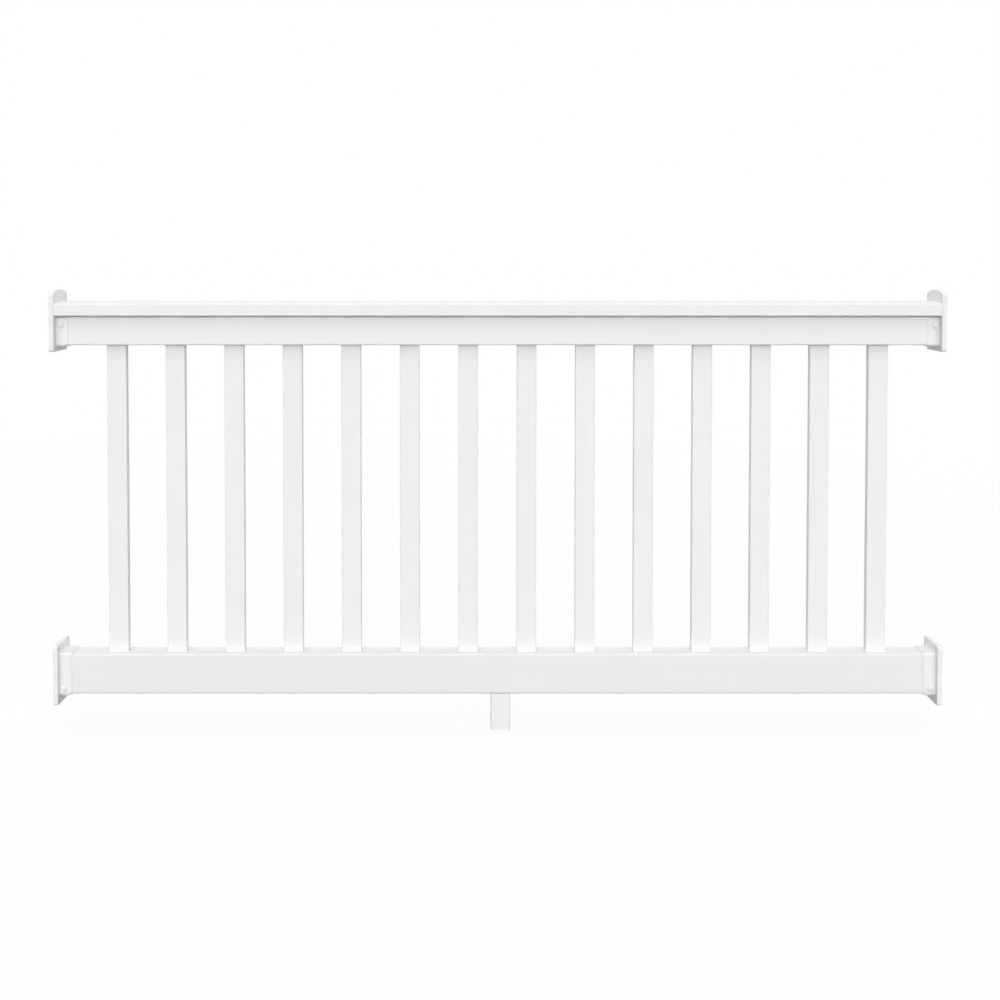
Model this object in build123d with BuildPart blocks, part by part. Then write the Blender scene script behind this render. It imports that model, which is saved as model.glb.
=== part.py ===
# Vinyl railing section: a T-shaped top rail, a box bottom rail, a row of hollow
# balusters, four end brackets and a foot block under the middle of the bottom rail.
# Millimetres. +X runs along the rails, +Y to the back, +Z up. The origin is the centre
# of the lower left bracket's flange, on the face that goes against the post.

from build123d import *
import os

# Bay
bay_length = 1727.2  # clear distance between the faces of the two posts
guard_height = 839.5  # deck to the crest of the top rail
deck_gap = 71.5  # deck to the underside of the bottom rail
end_clearance = 0.3  # rail end to the flange that it butts against

# Bottom rail, a box extrusion
bottom_rail_depth = 50.8
bottom_rail_height = 79.0
bottom_rail_corner = 4.0
bottom_rail_wall = 2.6

# Top rail, a T extrusion: a web below, a shadow groove and a crowned cap above
web_depth = 50.8
web_height = 55.2
web_corner = 3.0
web_shoulder_radius = 1.5
groove_height = 2.0
groove_inset = 5.0
cap_depth = 88.9
cap_side_height = 23.5
cap_crown = 4.5
cap_top_radius = 3.0
cap_bottom_radius = 2.5
top_rail_wall = 2.6

# Balusters, hollow and pushed through routed holes into both rails
baluster_count = 14
baluster_pitch = 114.3
baluster_width = 38.1
baluster_depth = 17.5
baluster_corner = 2.0
baluster_wall = 1.8
baluster_entry = 38.0  # how far a baluster goes up into the top rail
routed_clearance = 0.4
routed_corner = 1.2  # bevel in a hole's corners, clear of the baluster's rounding

# End brackets, each a flange with a collar that takes the rail's end
flange_thickness = 9.0
flange_edge_bevel = 1.2
collar_length = 23.5
collar_wall = 3.0
collar_corner = 6.0
collar_lip = 1.2  # wall left at the free end
collar_taper_length = 7.0  # stretch at the free end over which the wall thins to the lip
collar_clearance = 0.3
screw_hole_radius = 2.6

# Lower flange, a plain rectangle round the bottom rail
lower_flange_depth = 80.0
lower_flange_margin = 18.5  # above and below the bottom rail
lower_flange_corner = 5.0
lower_screw_side = 28.0  # post screw to the middle of the flange
lower_screw_margin = 7.0  # post screw to the flange's top or bottom edge

# Upper flange, which stands above the cap in an arch and hangs below the web
upper_flange_margin = 0.55  # past the cap's front and back
upper_flange_depth = cap_depth + 2 * upper_flange_margin
upper_flange_above = 22.5
upper_flange_rise = 8.5  # crest of the arch over its shoulders
upper_flange_below = 12.0
upper_flange_corner = 5.0
upper_screw_edge = 8.0  # post screw to the flange's front or back edge
upper_screw_side = upper_flange_depth / 2 - upper_screw_edge
upper_screw_drop = 5.0  # upper post screws below the arch's shoulders
upper_screw_lift = 12.0  # lower post screws above the flange's bottom edge
upper_collar_gap = 2.5  # collar's top edge to the bottom of the shadow groove

# Foot block, a cup that is open at the top and stands on the deck
foot_width = 38.1
foot_depth = bottom_rail_depth  # flush with both faces of the rail
foot_corner = 3.0
foot_wall = 3.0
foot_offset = 6.0  # from the middle of the bay, towards +X

# Heights in the part's frame, from the middle of the bottom rail
bottom_rail_top = bottom_rail_height / 2
bottom_rail_bottom = -bottom_rail_height / 2
deck = bottom_rail_bottom - deck_gap
cap_crest = deck + guard_height
cap_shoulder = cap_crest - cap_crown
cap_bottom = cap_shoulder - cap_side_height
web_top = cap_bottom - groove_height
web_bottom = web_top - web_height
baluster_bottom = bottom_rail_bottom + bottom_rail_wall
baluster_top = web_bottom + baluster_entry
upper_flange_bottom = web_bottom - upper_flange_below
upper_flange_top = cap_crest + upper_flange_above
upper_flange_shoulder = upper_flange_top - upper_flange_rise
upper_screw_low = upper_flange_bottom + upper_screw_lift
upper_screw_high = upper_flange_shoulder - upper_screw_drop

# Places along the bay
rail_start = flange_thickness + end_clearance
rail_length = bay_length - 2 * rail_start
middle = bay_length / 2
first_baluster = middle - baluster_pitch * (baluster_count - 1) / 2
baluster_places = [first_baluster + n * baluster_pitch for n in range(baluster_count)]

# Sizes of the brackets that follow from the rails
lower_flange_height = bottom_rail_height + 2 * lower_flange_margin
lower_pocket_depth = bottom_rail_depth + 2 * collar_clearance
lower_pocket_height = bottom_rail_height + collar_clearance
upper_pocket_depth = web_depth + 2 * collar_clearance
upper_collar_height = web_top - upper_collar_gap - web_bottom + collar_wall

# Post faces: local x is across the flange, local y is up, the normal points into the bay
post_faces = {
    "left": Plane((0, 0, 0), x_dir=(0, 1, 0), z_dir=(1, 0, 0)),
    "right": Plane((bay_length, 0, 0), x_dir=(0, -1, 0), z_dir=(-1, 0, 0)),
}

os.makedirs("parts", exist_ok=True)


def save(builder, name):
    """Label a finished piece and write it to its own file."""
    builder.part.label = name
    export_step(builder.part, f"parts/{name}.step")


def outer_corners(sketch, height):
    """Return the outermost corner on each side of an open section at one height."""
    levels = sketch.vertices().group_by(Axis.Y)
    across = min(levels, key=lambda level: abs(level[0].Y - height)).sort_by(Axis.X)
    return [across[0], across[-1]]


def cut_routed_holes(height, wall):
    """Cut the row of baluster holes through a wall of the open part that starts at a height."""
    with BuildSketch(Plane.XY.offset(height - wall)) as openings:
        with Locations(*[(x, 0) for x in baluster_places]):
            Rectangle(baluster_width + 2 * routed_clearance, baluster_depth + 2 * routed_clearance)
        chamfer(openings.vertices(), length=routed_corner)
    extrude(openings.sketch, amount=3 * wall, mode=Mode.SUBTRACT)


def bevel_bracket(builder, face):
    """Bevel the edge of a bracket's flange and thin its collar towards the free end."""
    inward = Axis(face.origin, face.z_dir)
    landing, collar_end = builder.faces().filter_by(face).sort_by(inward)[1:]
    chamfer(landing.outer_wire().edges(), length=flange_edge_bevel)
    chamfer(
        collar_end.edges(),
        length=collar_wall - collar_lip,
        length2=collar_taper_length,
        reference=collar_end,
    )


def cut_post_holes(face, centre, across, rise):
    """Drill the four post screw holes through the flange of the open bracket."""
    with BuildSketch(face) as holes:
        with Locations((0, centre)):
            with GridLocations(across, rise, 2, 2):
                Circle(screw_hole_radius)
    extrude(holes.sketch, amount=flange_thickness, mode=Mode.SUBTRACT)


# Bottom rail
with BuildPart() as bottom_rail:
    with BuildSketch(Plane.YZ.offset(rail_start)):
        RectangleRounded(bottom_rail_depth, bottom_rail_height, bottom_rail_corner)
        Rectangle(
            bottom_rail_depth - 2 * bottom_rail_wall,
            bottom_rail_height - 2 * bottom_rail_wall,
            mode=Mode.SUBTRACT,
        )
    extrude(amount=rail_length)
    cut_routed_holes(bottom_rail_top - bottom_rail_wall, bottom_rail_wall)
save(bottom_rail, "bottom_rail")

# Top rail
with BuildPart() as top_rail:
    with BuildSketch(Plane.YZ.offset(rail_start)) as tee:
        with BuildLine():
            side = Polyline(
                (web_depth / 2, web_bottom),
                (web_depth / 2, web_top),
                (web_depth / 2 - groove_inset, web_top),
                (web_depth / 2 - groove_inset, cap_bottom),
                (cap_depth / 2, cap_bottom),
                (cap_depth / 2, cap_shoulder),
            )
            mirror(side, about=Plane.YZ)
            Line(side @ 0, (-web_depth / 2, web_bottom))
            ThreePointArc(side @ 1, (0, cap_crest), (-cap_depth / 2, cap_shoulder))
        make_face()
        fillet(outer_corners(tee, web_bottom), radius=web_corner)
        fillet(outer_corners(tee, web_top), radius=web_shoulder_radius)
        fillet(outer_corners(tee, cap_bottom), radius=cap_bottom_radius)
        fillet(outer_corners(tee, cap_shoulder), radius=cap_top_radius)
        # Hollow of the web, of the neck beside the groove, and of the cap under its crown
        with Locations((0, (web_bottom + web_top) / 2)):
            Rectangle(
                web_depth - 2 * top_rail_wall,
                web_height - 2 * top_rail_wall,
                mode=Mode.SUBTRACT,
            )
        with Locations((0, cap_bottom)):
            Rectangle(
                web_depth - 2 * groove_inset - 2 * top_rail_wall,
                groove_height + 2 * top_rail_wall,
                align=(Align.CENTER, Align.MAX),
                mode=Mode.SUBTRACT,
            )
        with BuildLine():
            lining = Polyline(
                (cap_depth / 2 - top_rail_wall, cap_shoulder - top_rail_wall),
                (cap_depth / 2 - top_rail_wall, cap_bottom + top_rail_wall),
                (top_rail_wall - cap_depth / 2, cap_bottom + top_rail_wall),
                (top_rail_wall - cap_depth / 2, cap_shoulder - top_rail_wall),
            )
            ThreePointArc(lining @ 1, (0, cap_crest - top_rail_wall), lining @ 0)
        make_face(mode=Mode.SUBTRACT)
    extrude(amount=rail_length)
    cut_routed_holes(web_bottom, top_rail_wall)
save(top_rail, "top_rail")

# Balusters
for number, place in enumerate(baluster_places, start=1):
    with BuildPart() as baluster:
        with BuildSketch(Plane.XY.offset(baluster_bottom)):
            with Locations((place, 0)):
                RectangleRounded(baluster_width, baluster_depth, baluster_corner)
                Rectangle(
                    baluster_width - 2 * baluster_wall,
                    baluster_depth - 2 * baluster_wall,
                    mode=Mode.SUBTRACT,
                )
        extrude(amount=baluster_top - baluster_bottom)
    save(baluster, f"baluster_{number:02d}")

# Lower brackets, whose collar rings the bottom rail
for end, face in post_faces.items():
    with BuildPart() as lower_bracket:
        with BuildSketch(face):
            RectangleRounded(lower_flange_depth, lower_flange_height, lower_flange_corner)
        extrude(amount=flange_thickness)
        with BuildSketch(face.offset(flange_thickness)):
            with Locations((0, collar_clearance / 2)):
                RectangleRounded(
                    lower_pocket_depth + 2 * collar_wall,
                    lower_pocket_height + 2 * collar_wall,
                    collar_corner,
                )
        extrude(amount=collar_length)
        bevel_bracket(lower_bracket, face)
        with BuildSketch(face.offset(flange_thickness)):
            with Locations((0, collar_clearance / 2)):
                RectangleRounded(lower_pocket_depth, lower_pocket_height, bottom_rail_corner)
        extrude(amount=collar_length, mode=Mode.SUBTRACT)
        cut_post_holes(face, 0, 2 * lower_screw_side, lower_flange_height - 2 * lower_screw_margin)
    save(lower_bracket, f"bracket_lower_{end}")

# Upper brackets, whose collar is a cradle under the cap, open at the top
for end, face in post_faces.items():
    with BuildPart() as upper_bracket:
        with BuildSketch(face) as flange:
            with BuildLine():
                sides = Polyline(
                    (-upper_flange_depth / 2, upper_flange_shoulder),
                    (-upper_flange_depth / 2, upper_flange_bottom),
                    (upper_flange_depth / 2, upper_flange_bottom),
                    (upper_flange_depth / 2, upper_flange_shoulder),
                )
                ThreePointArc(sides @ 1, (0, upper_flange_top), sides @ 0)
            make_face()
            fillet(flange.vertices(), radius=upper_flange_corner)
        extrude(amount=flange_thickness)
        with BuildSketch(face.offset(flange_thickness)) as cradle:
            with Locations((0, web_bottom - collar_wall)):
                Rectangle(
                    upper_pocket_depth + 2 * collar_wall,
                    upper_collar_height,
                    align=(Align.CENTER, Align.MIN),
                )
            fillet(cradle.vertices().group_by(Axis.Y)[0], radius=collar_corner)
        extrude(amount=collar_length)
        bevel_bracket(upper_bracket, face)
        with BuildSketch(face.offset(flange_thickness)) as pocket:
            with Locations((0, web_bottom)):
                Rectangle(
                    upper_pocket_depth,
                    upper_collar_height,
                    align=(Align.CENTER, Align.MIN),
                )
            fillet(pocket.vertices().group_by(Axis.Y)[0], radius=web_corner)
        extrude(amount=collar_length, mode=Mode.SUBTRACT)
        cut_post_holes(
            face,
            (upper_screw_low + upper_screw_high) / 2,
            2 * upper_screw_side,
            upper_screw_high - upper_screw_low,
        )
    save(upper_bracket, f"bracket_upper_{end}")

# Foot block
with BuildPart() as foot_block:
    with BuildSketch(Plane.XY.offset(deck)):
        with Locations((middle + foot_offset, 0)):
            RectangleRounded(foot_width, foot_depth, foot_corner)
    extrude(amount=deck_gap)
    with BuildSketch(Plane.XY.offset(deck + foot_wall)):
        with Locations((middle + foot_offset, 0)):
            Rectangle(foot_width - 2 * foot_wall, foot_depth - 2 * foot_wall)
    extrude(amount=deck_gap - foot_wall, mode=Mode.SUBTRACT)
save(foot_block, "foot_block")
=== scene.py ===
import logging
import math
from collections.abc import Callable
from dataclasses import dataclass
from enum import Enum

import bmesh
import bpy
from mathutils import Matrix, Vector


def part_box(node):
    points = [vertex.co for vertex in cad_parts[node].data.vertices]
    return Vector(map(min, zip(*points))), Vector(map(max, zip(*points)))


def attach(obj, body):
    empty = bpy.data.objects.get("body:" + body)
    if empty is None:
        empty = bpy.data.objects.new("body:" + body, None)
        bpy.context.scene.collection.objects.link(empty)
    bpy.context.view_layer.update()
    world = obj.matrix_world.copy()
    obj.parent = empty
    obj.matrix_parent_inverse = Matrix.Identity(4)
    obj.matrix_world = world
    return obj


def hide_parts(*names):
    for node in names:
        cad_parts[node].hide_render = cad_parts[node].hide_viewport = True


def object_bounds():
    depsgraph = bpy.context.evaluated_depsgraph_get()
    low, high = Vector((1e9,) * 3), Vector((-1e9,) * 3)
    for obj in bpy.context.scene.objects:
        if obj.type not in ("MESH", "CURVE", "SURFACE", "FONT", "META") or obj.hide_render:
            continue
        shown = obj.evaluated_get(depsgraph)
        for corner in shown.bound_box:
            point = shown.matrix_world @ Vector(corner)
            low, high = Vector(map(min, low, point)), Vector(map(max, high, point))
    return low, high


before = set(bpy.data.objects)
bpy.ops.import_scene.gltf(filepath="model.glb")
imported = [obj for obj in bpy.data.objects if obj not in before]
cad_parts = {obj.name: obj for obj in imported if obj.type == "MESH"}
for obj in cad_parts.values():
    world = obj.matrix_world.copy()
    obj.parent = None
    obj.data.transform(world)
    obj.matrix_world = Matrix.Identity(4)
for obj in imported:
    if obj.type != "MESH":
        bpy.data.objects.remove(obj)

LOG = logging.getLogger("railing")
CAD_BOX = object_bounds()

Colour = tuple[float, float, float, float]
Place = tuple[float, float, float]
Pair = tuple[float, float]
EdgeTest = Callable[[Vector], bool]

MM = 0.001
UNIT: Pair = (0.0, 1.0)
VINYL_IOR = 1.53
# Edges that turn by more than this are rounded
SHARP = math.radians(35.0)
# Cosine over which two directions count as the same
PARALLEL = 0.99
# Faces across the rounded corner of a block
CORNER_FACES = 6


class Run(Enum):
    """Direction in which a hollow section was drawn through its die, as a stretch of its die lines."""

    ALONG_X = (1.5, 380.0, 380.0)
    ALONG_Z = (380.0, 380.0, 1.5)


class End(Enum):
    """End of the bay that a bracket closes, with the sense in which it points into the bay."""

    LEFT = 1.0
    RIGHT = -1.0


class Side(Enum):
    """Side of a collar that a screw goes into, with its sense along Y."""

    FRONT = -1.0
    BACK = 1.0


class Carve(Enum):
    """What one solid does to another."""

    JOIN = "UNION"
    CUT = "DIFFERENCE"


# Shader helpers


class Nodes:
    """A short way to add shader nodes to a tree and wire them."""

    def __init__(self, tree: bpy.types.NodeTree) -> None:
        """Keep the tree that the nodes go into."""
        self.tree = tree

    def add(self, kind: str, **settings: object) -> bpy.types.Node:
        """Add one node.

        Args:
            kind: The node's Blender type name.
            **settings: Attributes to set on it.

        Returns:
            The new node.
        """
        node = self.tree.nodes.new(kind)
        for name, value in settings.items():
            setattr(node, name, value)
        return node

    def join(self, source: bpy.types.NodeSocket, target: bpy.types.NodeSocket) -> None:
        """Wire an output to an input."""
        self.tree.links.new(source, target)

    def math(
        self, operation: str, first: bpy.types.NodeSocket, second: bpy.types.NodeSocket | float
    ) -> bpy.types.NodeSocket:
        """Combine two values.

        Args:
            operation: Name of the operation.
            first: Output that feeds the first value.
            second: Output or plain number for the second value.

        Returns:
            The result's output.
        """
        node = self.add("ShaderNodeMath", operation=operation)
        self.join(first, node.inputs[0])
        if isinstance(second, bpy.types.NodeSocket):
            self.join(second, node.inputs[1])
        else:
            node.inputs[1].default_value = second
        return node.outputs[0]

    def span(self, value: bpy.types.NodeSocket, source: Pair, target: Pair) -> bpy.types.NodeSocket:
        """Stretch a range of values onto another one.

        Args:
            value: Output that carries the value.
            source: Low and high end of the range that comes in.
            target: What they become.

        Returns:
            The stretched value's output.
        """
        node = self.add("ShaderNodeMapRange")
        self.join(value, node.inputs["Value"])
        node.inputs["From Min"].default_value, node.inputs["From Max"].default_value = source
        node.inputs["To Min"].default_value, node.inputs["To Max"].default_value = target
        return node.outputs["Result"]


class Effects:
    """Node groups that several finishes share.

    Each span is the part of a noise that is stretched over the whole range.
    """

    LINE_SPAN: Pair = (0.3, 0.7)
    PEEL_SPAN: Pair = (0.28, 0.72)
    TONE_SPAN: Pair = (0.25, 0.75)

    def __init__(self) -> None:
        """Build each group once."""
        self.die_lines = self._die_lines()
        self.peel = self._peel()
        self.mottle = self._mottle()

    def _open(self, name: str, inputs: dict[str, str], output: str) -> tuple[bpy.types.NodeTree, Nodes]:
        """Start a group.

        Args:
            name: The group's name.
            inputs: Name of each input and its socket type.
            output: Name of the single value that it gives.

        Returns:
            The group and its node helper.
        """
        tree = bpy.data.node_groups.new(name, "ShaderNodeTree")
        for label, kind in inputs.items():
            tree.interface.new_socket(label, in_out="INPUT", socket_type=kind)
        tree.interface.new_socket(output, in_out="OUTPUT", socket_type="NodeSocketFloat")
        return tree, Nodes(tree)

    def _die_lines(self) -> bpy.types.NodeTree:
        """Make fine streaks that run along a drawn section.

        Returns:
            The group, with the streaks from 0 to 1.
        """
        kinds = {"Place": "NodeSocketVector", "Stretch": "NodeSocketVector"}
        tree, nodes = self._open("die_lines", kinds, "Lines")
        given = nodes.add("NodeGroupInput")
        out = nodes.add("NodeGroupOutput")
        stretch = nodes.add("ShaderNodeVectorMath", operation="MULTIPLY")
        streaks = nodes.add("ShaderNodeTexNoise")
        streaks.inputs["Scale"].default_value = 1.0
        streaks.inputs["Detail"].default_value = 3.0
        nodes.join(given.outputs["Place"], stretch.inputs[0])
        nodes.join(given.outputs["Stretch"], stretch.inputs[1])
        nodes.join(stretch.outputs["Vector"], streaks.inputs["Vector"])
        nodes.join(nodes.span(streaks.outputs["Fac"], self.LINE_SPAN, UNIT), out.inputs["Lines"])
        return tree

    def _peel(self) -> bpy.types.NodeTree:
        """Make the fine uneven skin of set plastic.

        Returns:
            The group, with the skin from 0 to 1.
        """
        kinds = {"Place": "NodeSocketVector", "Scale": "NodeSocketFloat"}
        tree, nodes = self._open("peel", kinds, "Peel")
        given = nodes.add("NodeGroupInput")
        out = nodes.add("NodeGroupOutput")
        skin = nodes.add("ShaderNodeTexNoise")
        skin.inputs["Detail"].default_value = 4.0
        skin.inputs["Roughness"].default_value = 0.55
        nodes.join(given.outputs["Place"], skin.inputs["Vector"])
        nodes.join(given.outputs["Scale"], skin.inputs["Scale"])
        nodes.join(nodes.span(skin.outputs["Fac"], self.PEEL_SPAN, UNIT), out.inputs["Peel"])
        return tree

    def _mottle(self) -> bpy.types.NodeTree:
        """Make slow changes of tone over a long piece.

        Returns:
            The group, with the tone from 0 to 1.
        """
        kinds = {"Place": "NodeSocketVector", "Scale": "NodeSocketFloat"}
        tree, nodes = self._open("mottle", kinds, "Tone")
        given = nodes.add("NodeGroupInput")
        out = nodes.add("NodeGroupOutput")
        tone = nodes.add("ShaderNodeTexNoise")
        tone.inputs["Detail"].default_value = 1.0
        nodes.join(given.outputs["Place"], tone.inputs["Vector"])
        nodes.join(given.outputs["Scale"], tone.inputs["Scale"])
        nodes.join(nodes.span(tone.outputs["Fac"], self.TONE_SPAN, UNIT), out.inputs["Tone"])
        return tree


# Finishes


@dataclass(frozen=True)
class DrawnVinyl:
    """Satin white vinyl as it leaves the die: faint lines along the run and a smooth skin.

    Attributes:
        name: Name of the material.
        run: Direction of the die lines.
        pale: Colour at one end of the tone.
        deep: Colour at the other end.
        gloss: Lowest and highest roughness.
        relief: Height of the bumps in metres.
        dust: Strength of the sheen that fine dust gives.
        skin_scale: How fine the skin is.
        tone_scale: How fine the slow changes of tone are.
        line_share: Share of the die lines in the tone and the bumps.
        tone_share: Share of the slow changes in the tone.
        skin_share: Share of the skin in the bumps.
        bump: Strength of the bumps.
    """

    name: str
    run: Run
    pale: Colour
    deep: Colour
    gloss: Pair = (0.36, 0.46)
    relief: float = 0.00005
    dust: float = 0.0
    skin_scale: float = 240.0
    tone_scale: float = 5.0
    line_share: float = 0.35
    tone_share: float = 0.65
    skin_share: float = 0.6
    bump: float = 0.5

    def make(self, effects: Effects) -> bpy.types.Material:
        """Make the material.

        Args:
            effects: The shared node groups.

        Returns:
            The finished material.
        """
        finish = bpy.data.materials.new(self.name)
        finish.use_nodes = True
        nodes = Nodes(finish.node_tree)
        shader = finish.node_tree.nodes["Principled BSDF"]
        shader.inputs["IOR"].default_value = VINYL_IOR
        shader.inputs["Sheen Weight"].default_value = self.dust
        place = nodes.add("ShaderNodeTexCoord").outputs["Object"]
        lines = nodes.add("ShaderNodeGroup", node_tree=effects.die_lines)
        lines.inputs["Stretch"].default_value = self.run.value
        peel = nodes.add("ShaderNodeGroup", node_tree=effects.peel)
        peel.inputs["Scale"].default_value = self.skin_scale
        mottle = nodes.add("ShaderNodeGroup", node_tree=effects.mottle)
        mottle.inputs["Scale"].default_value = self.tone_scale
        for group in (lines, peel, mottle):
            nodes.join(place, group.inputs["Place"])
        streaked = nodes.math("MULTIPLY", lines.outputs["Lines"], self.line_share)
        toned = nodes.math("MULTIPLY", mottle.outputs["Tone"], self.tone_share)
        blend = nodes.add("ShaderNodeMix", data_type="RGBA")
        blend.inputs["A"].default_value = self.pale
        blend.inputs["B"].default_value = self.deep
        nodes.join(nodes.math("ADD", streaked, toned), blend.inputs["Factor"])
        nodes.join(blend.outputs["Result"], shader.inputs["Base Color"])
        nodes.join(nodes.span(peel.outputs["Peel"], UNIT, self.gloss), shader.inputs["Roughness"])
        bump = nodes.add("ShaderNodeBump")
        bump.inputs["Strength"].default_value = self.bump
        bump.inputs["Distance"].default_value = self.relief
        skin = nodes.math("MULTIPLY", peel.outputs["Peel"], self.skin_share)
        nodes.join(nodes.math("ADD", streaked, skin), bump.inputs["Height"])
        nodes.join(bump.outputs["Normal"], shader.inputs["Normal"])
        return finish


@dataclass(frozen=True)
class MouldedVinyl:
    """White injection-moulded plastic with the fine spark grain of its mould.

    Attributes:
        name: Name of the material.
        pale: Colour at one end of the tone.
        deep: Colour at the other end.
        grain: How fine the grain is.
        gloss: Lowest and highest roughness.
        relief: Height of the bumps in metres.
        coat: Strength of a clear coat.
        dust: Strength of the sheen that fine dust gives.
        tone_scale: How fine the slow changes of tone are.
        bump: Strength of the bumps.
    """

    name: str
    pale: Colour
    deep: Colour
    grain: float = 1300.0
    gloss: Pair = (0.40, 0.54)
    relief: float = 0.00008
    coat: float = 0.0
    dust: float = 0.0
    tone_scale: float = 28.0
    bump: float = 0.45

    def make(self, effects: Effects) -> bpy.types.Material:
        """Make the material.

        Args:
            effects: The shared node groups.

        Returns:
            The finished material.
        """
        finish = bpy.data.materials.new(self.name)
        finish.use_nodes = True
        nodes = Nodes(finish.node_tree)
        shader = finish.node_tree.nodes["Principled BSDF"]
        shader.inputs["IOR"].default_value = VINYL_IOR
        shader.inputs["Coat Weight"].default_value = self.coat
        shader.inputs["Sheen Weight"].default_value = self.dust
        place = nodes.add("ShaderNodeTexCoord").outputs["Object"]
        grain = nodes.add("ShaderNodeGroup", node_tree=effects.peel)
        grain.inputs["Scale"].default_value = self.grain
        mottle = nodes.add("ShaderNodeGroup", node_tree=effects.mottle)
        mottle.inputs["Scale"].default_value = self.tone_scale
        for group in (grain, mottle):
            nodes.join(place, group.inputs["Place"])
        blend = nodes.add("ShaderNodeMix", data_type="RGBA")
        blend.inputs["A"].default_value = self.pale
        blend.inputs["B"].default_value = self.deep
        nodes.join(mottle.outputs["Tone"], blend.inputs["Factor"])
        nodes.join(blend.outputs["Result"], shader.inputs["Base Color"])
        nodes.join(nodes.span(grain.outputs["Peel"], UNIT, self.gloss), shader.inputs["Roughness"])
        bump = nodes.add("ShaderNodeBump")
        bump.inputs["Strength"].default_value = self.bump
        bump.inputs["Distance"].default_value = self.relief
        nodes.join(grain.outputs["Peel"], bump.inputs["Height"])
        nodes.join(bump.outputs["Normal"], shader.inputs["Normal"])
        return finish


@dataclass(frozen=True)
class StudioWhite:
    """Pale matt paint of the floor, which the camera sees as white with a soft shadow.

    Attributes:
        name: Name of the material.
        seen: How pale the paint looks to the camera.
        thrown: How pale it is for the light that it throws back up.
        shown: Share of plain white in what the camera sees near the object.
        clear: How far out that share holds, in metres.
        reach: Where the floor has become plain white.
    """

    name: str
    seen: float
    thrown: float
    shown: float
    clear: float
    reach: float

    def make(self) -> bpy.types.Material:
        """Make the material.

        Returns:
            The finished material.
        """
        finish = bpy.data.materials.new(self.name)
        finish.use_nodes = True
        nodes = Nodes(finish.node_tree)
        finish.node_tree.nodes.clear()
        out = nodes.add("ShaderNodeOutputMaterial")
        matt = nodes.add("ShaderNodeBsdfDiffuse")
        glow = nodes.add("ShaderNodeEmission")
        place = nodes.add("ShaderNodeTexCoord").outputs["Object"]
        away = nodes.add("ShaderNodeVectorMath", operation="LENGTH")
        nodes.join(place, away.inputs[0])
        share = nodes.span(away.outputs["Value"], (self.clear, self.reach), (self.shown, 1.0))
        path = nodes.add("ShaderNodeLightPath")
        seen = nodes.math("MAXIMUM", path.outputs["Is Camera Ray"], path.outputs["Is Glossy Ray"])
        seen = nodes.math("MAXIMUM", seen, path.outputs["Is Transmission Ray"])
        nodes.join(nodes.span(seen, UNIT, (self.thrown, self.seen)), matt.inputs["Color"])
        mix = nodes.add("ShaderNodeMixShader")
        nodes.join(nodes.math("MULTIPLY", seen, share), mix.inputs["Fac"])
        nodes.join(matt.outputs[0], mix.inputs[1])
        nodes.join(glow.outputs[0], mix.inputs[2])
        nodes.join(mix.outputs[0], out.inputs["Surface"])
        return finish


# View and room


@dataclass(frozen=True)
class Bay:
    """The CAD box's middle along the rails and the height of the deck, in metres."""

    centre: float
    deck: float


@dataclass(frozen=True)
class PhotoView:
    """The slightly lowered camera with a shifted lens that took the reference view.

    Lengths are in metres, the tilt is in degrees and the lens axis is in pixels of a square picture.
    """

    picture: float = 1000.0
    sensor: float = 36.0
    focal_pixels: float = 1356.7
    axis: Pair = (472.0, 299.7)
    distance: float = 2.65
    aside: float = 0.0496
    eye_over_deck: float = 0.9292
    tilt: float = 1.89

    def build(self, bay: Bay) -> bpy.types.Object:
        """Make the camera and hand it to the scene.

        Args:
            bay: Where the bay stands.

        Returns:
            The camera object.
        """
        data = bpy.data.cameras.new("photo_view")
        data.sensor_width = self.sensor
        data.lens = self.focal_pixels / self.picture * self.sensor
        data.shift_x = (self.picture / 2 - self.axis[0]) / self.picture
        data.shift_y = (self.axis[1] - self.picture / 2) / self.picture
        camera = bpy.data.objects.new("photo_view", data)
        camera.location = (bay.centre - self.aside, -self.distance, bay.deck + self.eye_over_deck)
        camera.rotation_euler = (math.radians(90.0 - self.tilt), 0.0, 0.0)
        bpy.context.scene.collection.objects.link(camera)
        bpy.context.scene.camera = camera
        return camera


@dataclass(frozen=True)
class Softbox:
    """A flat lamp with a soft edge, placed from the middle of the bay."""

    name: str
    place: Place
    turn: Place
    size: Pair
    watts: float

    def build(self, bay: Bay) -> bpy.types.Object:
        """Make the lamp.

        Args:
            bay: Where the bay stands.

        Returns:
            The lamp object, which the camera doesn't see.
        """
        data = bpy.data.lights.new(self.name, "AREA")
        data.shape = "RECTANGLE"
        data.size, data.size_y = self.size
        data.energy = self.watts
        lamp = bpy.data.objects.new(self.name, data)
        lamp.location = Vector(self.place) + Vector((bay.centre, 0.0, 0.0))
        lamp.rotation_euler = [math.radians(angle) for angle in self.turn]
        lamp.visible_camera = False
        bpy.context.scene.collection.objects.link(lamp)
        return lamp


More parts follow.
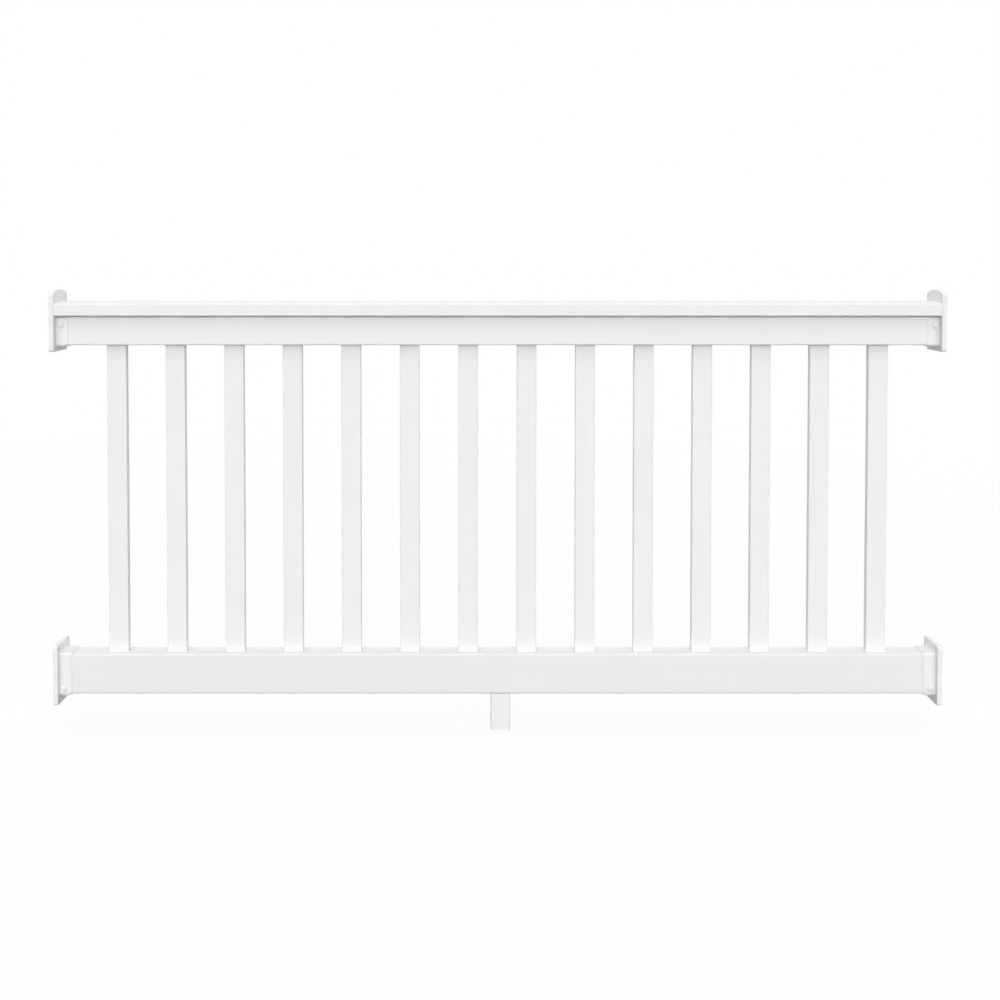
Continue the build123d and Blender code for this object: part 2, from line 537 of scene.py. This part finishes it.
@dataclass(frozen=True)
class LightTent:
    """Soft white tent round the object: a low and a high bright band in front, a dim sheet behind.

    Attributes:
        bands: Heights from 0 at the horizon to 1 overhead, each with the front's strength there.
        behind: Strength of the sheet behind.
        edge: Half the width of the soft edge of the front and of the sheet behind.
        mirrored: Strength of the white that glossy surfaces reflect.
    """

    bands: tuple[Pair, ...] = (
        (0.0, 0.0),
        (0.01, 4.60),
        (0.29, 4.60),
        (0.31, 0.85),
        (0.63, 0.85),
        (0.65, 2.10),
        (1.0, 2.10),
    )
    behind: float = 0.90
    edge: float = 0.06
    mirrored: float = 0.90

    def build(self) -> None:
        """Make the world: white to the camera, the tent for everything else."""
        world = bpy.data.worlds.new("light_tent")
        world.use_nodes = True
        nodes = Nodes(world.node_tree)
        world.node_tree.nodes.clear()
        out = nodes.add("ShaderNodeOutputWorld")
        tent = nodes.add("ShaderNodeBackground")
        tent.inputs["Color"].default_value = (1.0, 1.0, 1.0, 1.0)
        white = nodes.add("ShaderNodeBackground")
        white.inputs["Color"].default_value = (1.0, 1.0, 1.0, 1.0)
        nodes.join(self._strength(nodes), tent.inputs["Strength"])
        path = nodes.add("ShaderNodeLightPath")
        glossy = path.outputs["Is Glossy Ray"]
        nodes.join(nodes.span(glossy, UNIT, (1.0, self.mirrored)), white.inputs["Strength"])
        seen = nodes.math("MAXIMUM", path.outputs["Is Camera Ray"], glossy)
        seen = nodes.math("MAXIMUM", seen, path.outputs["Is Transmission Ray"])
        mix = nodes.add("ShaderNodeMixShader")
        nodes.join(seen, mix.inputs["Fac"])
        nodes.join(tent.outputs[0], mix.inputs[1])
        nodes.join(white.outputs[0], mix.inputs[2])
        nodes.join(mix.outputs[0], out.inputs["Surface"])
        bpy.context.scene.world = world

    def _strength(self, nodes: Nodes) -> bpy.types.NodeSocket:
        """Work out the tent's strength in each direction.

        Args:
            nodes: Helper of the world's tree.

        Returns:
            The output that carries the strength.
        """
        split = nodes.add("ShaderNodeSeparateXYZ")
        nodes.join(nodes.add("ShaderNodeTexCoord").outputs["Generated"], split.inputs[0])
        aside = nodes.math("ABSOLUTE", split.outputs["X"], 0.0)
        ahead = nodes.math("ADD", split.outputs["Y"], aside)
        front = nodes.span(ahead, (self.edge, -self.edge), UNIT)
        most = max(level for _, level in self.bands)
        ramp = nodes.add("ShaderNodeValToRGB")
        marks = ramp.color_ramp.elements
        marks[0].position, marks[1].position = self.bands[0][0], self.bands[-1][0]
        for height, _ in self.bands[1:-1]:
            marks.new(height)
        for mark, (_, level) in zip(marks, self.bands):
            mark.color = (level / most, level / most, level / most, 1.0)
        nodes.join(split.outputs["Z"], ramp.inputs["Fac"])
        lit = nodes.math("MULTIPLY", ramp.outputs["Color"], most)
        lit = nodes.math("MULTIPLY", lit, front)
        dim = nodes.span(split.outputs["Y"], (-self.edge, self.edge), (0.0, self.behind))
        return nodes.math("ADD", lit, dim)


@dataclass
class Studio:
    """White room round the object: floor, light tent and lamps."""

    bay: Bay
    reach: float = 9.0
    lamps: tuple[Softbox, ...] = (
        Softbox("top_softbox", (0.0, 0.0, 6.5), (0.0, 0.0, 0.0), (4.6, 4.2), 25.0),
    )

    def build(self) -> None:
        """Make the floor, the tent and the lamps."""
        self._floor()
        LightTent().build()
        for lamp in self.lamps:
            lamp.build(self.bay)

    def _floor(self) -> None:
        """Make the floor plane, which turns into plain white far out."""
        mesh = bpy.data.meshes.new("floor")
        shape = bmesh.new()
        bmesh.ops.create_grid(shape, x_segments=1, y_segments=1, size=self.reach)
        bmesh.ops.translate(shape, verts=shape.verts, vec=(self.bay.centre, 0, self.bay.deck))
        shape.to_mesh(mesh)
        shape.free()
        floor = bpy.data.objects.new("floor", mesh)
        bpy.context.scene.collection.objects.link(floor)
        paint = StudioWhite("floor_white", seen=0.98, thrown=0.20, shown=0.9, clear=2.0, reach=5.0)
        mesh.materials.append(paint.make())


# Mesh helpers


def block(
    name: str, low: Place, high: Place, corner: float = 0.0, where: EdgeTest | None = None
) -> bpy.types.Object:
    """Make a box whose edges along X are rounded.

    Args:
        name: Name of the object.
        low: Lowest corner in metres.
        high: Highest corner in metres.
        corner: Radius of the rounded edges.
        where: Says by an edge's middle whether that edge is rounded. All are without it.

    Returns:
        The new object, at the origin with its place in its mesh.
    """
    size = Vector(high) - Vector(low)
    shape = bmesh.new()
    bmesh.ops.create_cube(shape, size=1.0)
    bmesh.ops.scale(shape, vec=size, verts=shape.verts)
    bmesh.ops.translate(shape, vec=(Vector(high) + Vector(low)) / 2, verts=shape.verts)
    if corner:
        round_edges(shape, corner, where)
    return settle(name, shape)


def round_edges(shape: bmesh.types.BMesh, corner: float, where: EdgeTest | None = None) -> None:
    """Round the edges of a shape that run along X.

    Args:
        shape: The mesh to change.
        corner: Radius in metres.
        where: Says by an edge's middle whether that edge is rounded. All are without it.
    """
    along = []
    for edge in shape.edges:
        step = edge.verts[1].co - edge.verts[0].co
        middle = (edge.verts[0].co + edge.verts[1].co) / 2
        if abs(step.x) > PARALLEL * step.length and (where is None or where(middle)):
            along.append(edge)
    bmesh.ops.bevel(
        shape,
        geom=along,
        offset=corner,
        offset_type="OFFSET",
        affect="EDGES",
        segments=CORNER_FACES,
        profile=0.5,
        material=-1,
    )


def settle(name: str, shape: bmesh.types.BMesh) -> bpy.types.Object:
    """Turn a bmesh into an object of the scene.

    Args:
        name: Name of the object and its mesh.
        shape: The bmesh, which is freed.

    Returns:
        The new object.
    """
    bmesh.ops.recalc_face_normals(shape, faces=shape.faces)
    mesh = bpy.data.meshes.new(name)
    shape.to_mesh(mesh)
    shape.free()
    piece = bpy.data.objects.new(name, mesh)
    bpy.context.scene.collection.objects.link(piece)
    return piece


def bake(piece: bpy.types.Object) -> None:
    """Make what a piece's modifiers give its own mesh."""
    graph = bpy.context.evaluated_depsgraph_get()
    mesh = bpy.data.meshes.new_from_object(piece.evaluated_get(graph))
    old = piece.data
    piece.modifiers.clear()
    piece.data = mesh
    bpy.data.meshes.remove(old)
    mesh.name = piece.name


def carve(piece: bpy.types.Object, tool: bpy.types.Object, how: Carve) -> None:
    """Join a solid to a piece or cut it away.

    Args:
        piece: The piece that is changed.
        tool: The other solid, which is removed.
        how: Whether it joins or cuts.
    """
    step = piece.modifiers.new("carve", "BOOLEAN")
    step.operation = how.value
    step.solver = "EXACT"
    step.object = tool
    bake(piece)
    bpy.data.objects.remove(tool)


def soften(
    piece: bpy.types.Object, radius: float, segments: int = 3, share: Callable[[Vector], float] | None = None
) -> None:
    """Round every sharp edge of a piece and shade its flats flat.

    Args:
        piece: The piece that is changed.
        radius: Width of the rounding in metres.
        segments: Faces across the rounding.
        share: Gives by an edge's middle the share of the radius that it gets. All get it whole without it.
    """
    shape = bmesh.new()
    shape.from_mesh(piece.data)
    weight = shape.edges.layers.float.new("bevel_weight_edge")
    for edge in shape.edges:
        if edge.calc_face_angle(0.0) > SHARP:
            middle = (edge.verts[0].co + edge.verts[1].co) / 2
            edge[weight] = share(middle) if share else 1.0
    shape.to_mesh(piece.data)
    shape.free()
    rounding = piece.modifiers.new("rounding", "BEVEL")
    rounding.width = radius
    rounding.segments = segments
    rounding.profile = 0.5
    rounding.limit_method = "WEIGHT"
    rounding.material = -1
    bake(piece)
    piece.data.shade_smooth()
    flats = piece.modifiers.new("flats", "WEIGHTED_NORMAL")
    flats.keep_sharp = True
    bake(piece)


# Sub-assemblies


@dataclass
class RailPair:
    """The T-shaped top rail and the box bottom rail, shown as their CAD solids."""

    top: str = "top_rail"
    bottom: str = "bottom_rail"

    def dress(self, top_finish: bpy.types.Material, bottom_finish: bpy.types.Material) -> None:
        """Give each rail its finish.

        Args:
            top_finish: Finish of the top rail.
            bottom_finish: Finish of the bottom rail.
        """
        for name, finish in ((self.top, top_finish), (self.bottom, bottom_finish)):
            paint_node(name, finish)


@dataclass
class BalusterRow:
    """The row of hollow balusters, shown as their CAD solids."""

    count: int = 14

    def dress(self, finish: bpy.types.Material) -> None:
        """Give every baluster the finish."""
        for number in range(1, self.count + 1):
            paint_node(f"baluster_{number:02d}", finish)


@dataclass
class FootBlock:
    """The support block under the bottom rail, shown as its CAD solid."""

    node: str = "foot_block"

    def dress(self, finish: bpy.types.Material) -> None:
        """Give the block the finish."""
        paint_node(self.node, finish)


def paint_node(name: str, finish: bpy.types.Material) -> None:
    """Give a CAD node a finish.

    Args:
        name: Name of the node.
        finish: The material for its slots.
    """
    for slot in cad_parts[name].material_slots:
        slot.material = finish
    LOG.info("%s dressed", name)


@dataclass
class EndBracket:
    """Moulded bracket with a flange against the post and a collar round the rail's end.

    Lengths are in millimetres. The flange's place and size come from the CAD node that it stands for.
    """

    node: str
    end: End
    flange: float = 9.0
    collar_reach: float = 23.5
    collar_wall: float = 3.0
    collar_lip: float = 1.2
    collar_taper: float = 7.0
    collar_corner: float = 6.0
    flange_corner: float = 5.0
    pocket_depth: float = 51.4
    hole_radius: float = 2.6
    hole_faces: int = 24
    rounding: float = 1.3
    lip_rounding: float = 0.4

    def __post_init__(self) -> None:
        """Read where the CAD bracket stands."""
        self.low, self.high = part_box(self.node)

    def along(self, inward: float) -> float:
        """Return the X of a distance in millimetres from the post face."""
        face = self.low.x if self.end is End.LEFT else self.high.x
        return face + self.end.value * inward * MM

    def span(self, first: float, last: float) -> Pair:
        """Return the low and high X of a stretch given in millimetres from the post face."""
        ends = sorted((self.along(first), self.along(last)))
        return ends[0], ends[1]

    def collar(self, low: Pair, high: Pair, where: EdgeTest | None = None) -> bpy.types.Object:
        """Model a solid collar that thins to a lip at its free end.

        Args:
            low: Lowest Y and Z in metres.
            high: Highest Y and Z in metres.
            where: Says by an edge's middle whether that edge is rounded. All are without it.

        Returns:
            The collar before its pocket is cut.
        """
        near, far = self.span(self.flange / 2, self.flange + self.collar_reach - self.collar_taper)
        piece = block("collar", (near, *low), (far, *high), self.collar_corner * MM, where)
        shape = bmesh.new()
        shape.from_mesh(piece.data)
        free = [face for face in shape.faces if face.normal.x * self.end.value > PARALLEL]
        tip = bmesh.ops.extrude_discrete_faces(shape, faces=free)["faces"][0]
        bmesh.ops.translate(shape, verts=tip.verts, vec=(self.end.value * self.collar_taper * MM, 0.0, 0.0))
        thinning = 2 * (self.collar_wall - self.collar_lip) * MM
        deep, tall = high[0] - low[0], high[1] - low[1]
        to_middle = Matrix.Translation((0.0, -(low[0] + high[0]) / 2, -(low[1] + high[1]) / 2))
        shrink = (1.0, (deep - thinning) / deep, (tall - thinning) / tall)
        bmesh.ops.scale(shape, vec=shrink, space=to_middle, verts=tip.verts)
        shape.to_mesh(piece.data)
        shape.free()
        return piece

    def finer_lip(self, middle: Vector) -> float:
        """Return the share of the rounding that an edge gets, which is small at the collar's lip."""
        lip = self.along(self.flange + self.collar_reach)
        return self.lip_rounding / self.rounding if abs(middle.x - lip) < MM / 10 else 1.0

    def drill(self, piece: bpy.types.Object, places: list[Pair]) -> None:
        """Drill the post screw holes.

        Args:
            piece: The bracket.
            places: Y and Z of each hole in metres.
        """
        for y, z in places:
            shape = bmesh.new()
            radius = self.hole_radius * MM
            bmesh.ops.create_cone(
                shape,
                cap_ends=True,
                segments=self.hole_faces,
                radius1=radius,
                radius2=radius,
                depth=4 * self.flange * MM,
            )
            bmesh.ops.rotate(shape, verts=shape.verts, matrix=Matrix.Rotation(math.pi / 2, 3, "Y"))
            bmesh.ops.translate(shape, verts=shape.verts, vec=(self.along(self.flange / 2), y, z))
            carve(piece, settle("drill", shape), Carve.CUT)

    def dress(self, piece: bpy.types.Object, finish: bpy.types.Material) -> None:
        """Give the bracket its finish and put it in place of its node.

        Args:
            piece: The built bracket.
            finish: Its material.
        """
        piece.data.materials.clear()
        piece.data.materials.append(finish)
        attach(piece, "root")
        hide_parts(self.node)
        LOG.info("%s built with %d faces", piece.name, len(piece.data.polygons))


@dataclass
class LowerBracket(EndBracket):
    """Bracket whose collar rings the bottom rail."""

    rail_corner: float = 4.0
    pocket_height: float = 79.3
    pocket_lift: float = 0.15
    screw_side: float = 28.0
    screw_margin: float = 7.0

    def build(self) -> bpy.types.Object:
        """Model the bracket.

        Returns:
            The new piece.
        """
        name = self.node.replace("bracket", "bracket_moulding")
        near, far = self.span(0.0, self.flange)
        low, high = (near, self.low.y, self.low.z), (far, self.high.y, self.high.z)
        piece = block(name, low, high, self.flange_corner * MM)
        lift = self.pocket_lift * MM
        depth = self.pocket_depth / 2 * MM
        height = self.pocket_height / 2 * MM
        wall = self.collar_wall * MM
        collar = self.collar((-depth - wall, lift - height - wall), (depth + wall, lift + height + wall))
        near, far = self.span(-self.flange, self.flange + 2 * self.collar_reach)
        low, high = (near, -depth, lift - height), (far, depth, lift + height)
        pocket = block("pocket", low, high, self.rail_corner * MM)
        carve(collar, pocket, Carve.CUT)
        carve(piece, collar, Carve.JOIN)
        margin = self.screw_margin * MM
        side = self.screw_side * MM
        levels = (self.low.z + margin, self.high.z - margin)
        self.drill(piece, [(y, z) for y in (-side, side) for z in levels])
        soften(piece, self.rounding * MM, share=self.finer_lip)
        return piece


@dataclass
class UpperBracket(EndBracket):
    """Bracket whose collar is a cradle under the cap, open at the top."""

    arch_rise: float = 8.5
    arch_cuts: int = 23
    web_corner: float = 3.0
    web_lift: float = 12.0
    cradle_height: float = 52.7
    screw_side: float = 37.0
    screw_drop: float = 5.0
    screw_lift: float = 12.0

    def build(self) -> bpy.types.Object:
        """Model the bracket.

        Returns:
            The new piece.
        """
        piece = self._flange()
        web = self.low.z + self.web_lift * MM
        top = web + self.cradle_height * MM
        depth = self.pocket_depth / 2 * MM
        wall = self.collar_wall * MM
        cradle = self.collar((-depth - wall, web - wall), (depth + wall, top), lambda middle: middle.z < web)
        near, far = self.span(-self.flange, self.flange + 2 * self.collar_reach)
        low = (near, -depth, web)
        high = (far, depth, 2 * top - web)
        pocket = block("pocket", low, high, self.web_corner * MM, lambda middle: middle.z < top)
        carve(cradle, pocket, Carve.CUT)
        carve(piece, cradle, Carve.JOIN)
        side = self.screw_side * MM
        shoulder = self.high.z - self.arch_rise * MM
        levels = (self.low.z + self.screw_lift * MM, shoulder - self.screw_drop * MM)
        self.drill(piece, [(y, z) for y in (-side, side) for z in levels])
        soften(piece, self.rounding * MM, share=self.finer_lip)
        return piece

    def _flange(self) -> bpy.types.Object:
        """Model the flange with its arched top.

        Returns:
            The flange alone.
        """
        name = self.node.replace("bracket", "bracket_moulding")
        near, far = self.span(0.0, self.flange)
        half = self.high.y
        rise = self.arch_rise * MM
        shoulder = self.high.z - rise
        bend = (half * half + rise * rise) / (2 * rise)
        shape = bmesh.new()
        bmesh.ops.create_cube(shape, size=1.0)
        bmesh.ops.scale(shape, vec=(far - near, 2 * half, shoulder - self.low.z), verts=shape.verts)
        middle = ((near + far) / 2, 0.0, (shoulder + self.low.z) / 2)
        bmesh.ops.translate(shape, vec=middle, verts=shape.verts)
        crossing = []
        for edge in shape.edges:
            ends = [vert.co for vert in edge.verts]
            if abs(ends[0].y - ends[1].y) > half and min(ends[0].z, ends[1].z) > shoulder - MM:
                crossing.append(edge)
        bmesh.ops.subdivide_edges(shape, edges=crossing, cuts=self.arch_cuts, use_grid_fill=True)
        for vert in shape.verts:
            if vert.co.z > shoulder - MM:
                vert.co.z = self.high.z - bend + math.sqrt(bend * bend - vert.co.y * vert.co.y)
        round_edges(shape, self.flange_corner * MM, lambda middle: abs(middle.y) > half - MM)
        return settle(name, shape)


@dataclass
class CollarScrew:
    """White domed screw that holds a collar to its rail.

    Lengths are in millimetres, the place is in metres and the turn is in degrees.
    """

    name: str
    place: Vector
    side: Side
    turn: float
    head_radius: float = 6.0
    dome: float = 3.0
    rim: float = 0.9
    recess: tuple[float, float, float] = (6.4, 1.5, 1.9)
    recess_taper: Pair = (0.45, 0.7)
    faces_around: int = 32
    faces_over: int = 16
    rounding: float = 0.25

    def build(self) -> bpy.types.Object:
        """Model the head with its cross recess.

        Returns:
            The new piece.
        """
        piece = self._head()
        for quarter in (0.0, math.pi / 2):
            carve(piece, self._blade(quarter), Carve.CUT)
        soften(piece, self.rounding * MM, 2)
        turn = Matrix.Rotation(math.radians(self.turn), 4, "Z")
        face = Matrix.Rotation(-self.side.value * math.pi / 2, 4, "X")
        piece.data.transform(Matrix.Translation(self.place) @ face @ turn)
        return piece

    def dress(self, piece: bpy.types.Object, finish: bpy.types.Material) -> None:
        """Give the screw its finish and let it ride.

        Args:
            piece: The built screw.
            finish: Its material.
        """
        piece.data.materials.clear()
        piece.data.materials.append(finish)
        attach(piece, "root")
        LOG.info("%s built with %d faces", piece.name, len(piece.data.polygons))

    def _head(self) -> bpy.types.Object:
        """Model the dome on its rim, on the Z axis.

        Returns:
            The head without its recess.
        """
        radius = self.head_radius * MM
        shape = bmesh.new()
        bmesh.ops.create_uvsphere(
            shape, u_segments=self.faces_around, v_segments=self.faces_over, radius=radius
        )
        whole = shape.verts[:] + shape.edges[:] + shape.faces[:]
        bmesh.ops.bisect_plane(
            shape, geom=whole, dist=1e-6, plane_co=(0, 0, 0), plane_no=(0, 0, 1), clear_inner=True
        )
        bmesh.ops.scale(shape, vec=(1.0, 1.0, self.dome / self.head_radius), verts=shape.verts)
        bmesh.ops.translate(shape, vec=(0.0, 0.0, self.rim * MM), verts=shape.verts)
        edge = [edge for edge in shape.edges if edge.is_boundary]
        skirt = bmesh.ops.extrude_edge_only(shape, edges=edge)["geom"]
        lower = [item for item in skirt if isinstance(item, bmesh.types.BMVert)]
        bmesh.ops.translate(shape, vec=(0.0, 0.0, -self.rim * MM), verts=lower)
        bmesh.ops.holes_fill(shape, edges=[edge for edge in shape.edges if edge.is_boundary])
        return settle(self.name, shape)

    def _blade(self, quarter: float) -> bpy.types.Object:
        """Model one blade of the cross recess, narrower at its tip.

        Args:
            quarter: Turn about the screw's axis in radians.

        Returns:
            The blade as a solid to cut with.
        """
        length, width, depth = (value * MM for value in self.recess)
        crown = (self.dome + self.rim) * MM
        shape = bmesh.new()
        bmesh.ops.create_cube(shape, size=1.0)
        bmesh.ops.scale(shape, vec=(length, width, 2 * depth), verts=shape.verts)
        tip = [vert for vert in shape.verts if vert.co.z < 0]
        bmesh.ops.scale(shape, vec=(*self.recess_taper, 1.0), verts=tip)
        bmesh.ops.rotate(shape, verts=shape.verts, matrix=Matrix.Rotation(quarter, 3, "Z"))
        bmesh.ops.translate(shape, vec=(0.0, 0.0, crown), verts=shape.verts)
        return settle("blade", shape)


@dataclass
class CollarScrews:
    """The screws of all four collars. Lengths are in millimetres, turns are in degrees."""

    collar_face: float = 28.7
    lower_inward: float = 18.0
    lower_level: float = -27.9
    upper_inward: float = 17.7
    upper_level: float = 682.6
    first_turn: float = 23.0
    turn_step: float = 37.0
    side_turn: float = 19.0

    def build(self, brackets: list[EndBracket], finish: bpy.types.Material) -> None:
        """Make a screw on the front and the back of every collar.

        Args:
            brackets: The brackets that carry them.
            finish: Material of the heads.
        """
        for number, bracket in enumerate(brackets):
            lower = isinstance(bracket, LowerBracket)
            inward = self.lower_inward if lower else self.upper_inward
            level = self.lower_level if lower else self.upper_level
            for side in Side:
                name = f"{bracket.node.replace('bracket', 'screw')}_{side.name.lower()}"
                place = Vector((bracket.along(inward), side.value * self.collar_face * MM, level * MM))
                turn = self.first_turn + self.turn_step * number + self.side_turn * side.value
                screw = CollarScrew(name, place, side, turn)
                screw.dress(screw.build(), finish)


def main() -> None:
    """Build the view, the room and the railing, and report each piece."""
    logging.basicConfig(level=logging.INFO, format="%(name)s: %(message)s")
    bpy.context.scene.view_settings.view_transform = "Standard"
    low, high = CAD_BOX
    bay = Bay((low[0] + high[0]) / 2, low[2])
    PhotoView().build(bay)
    Studio(bay).build()
    effects = Effects()
    white = ((0.872, 0.872, 0.870, 1.0), (0.852, 0.853, 0.852, 1.0))
    dull = ((0.832, 0.833, 0.832, 1.0), (0.814, 0.815, 0.815, 1.0))
    upright = DrawnVinyl("baluster_vinyl", Run.ALONG_Z, *white).make(effects)
    RailPair().dress(
        DrawnVinyl("top_rail_vinyl", Run.ALONG_X, *white).make(effects),
        DrawnVinyl("bottom_rail_vinyl", Run.ALONG_X, *dull, dust=0.34).make(effects),
    )
    BalusterRow().dress(upright)
    FootBlock().dress(upright)
    moulded = MouldedVinyl("bracket_vinyl", *white, dust=0.25).make(effects)
    brackets: list[EndBracket] = []
    for end in End:
        for kind, row in ((LowerBracket, "lower"), (UpperBracket, "upper")):
            bracket = kind(f"bracket_{row}_{end.name.lower()}", end)
            bracket.dress(bracket.build(), moulded)
            brackets.append(bracket)
    enamel = MouldedVinyl("screw_enamel", *white, grain=2400.0, gloss=(0.24, 0.34), relief=0.00003, coat=0.25)
    CollarScrews().build(brackets, enamel.make(effects))


if __name__ == "__main__":
    main()
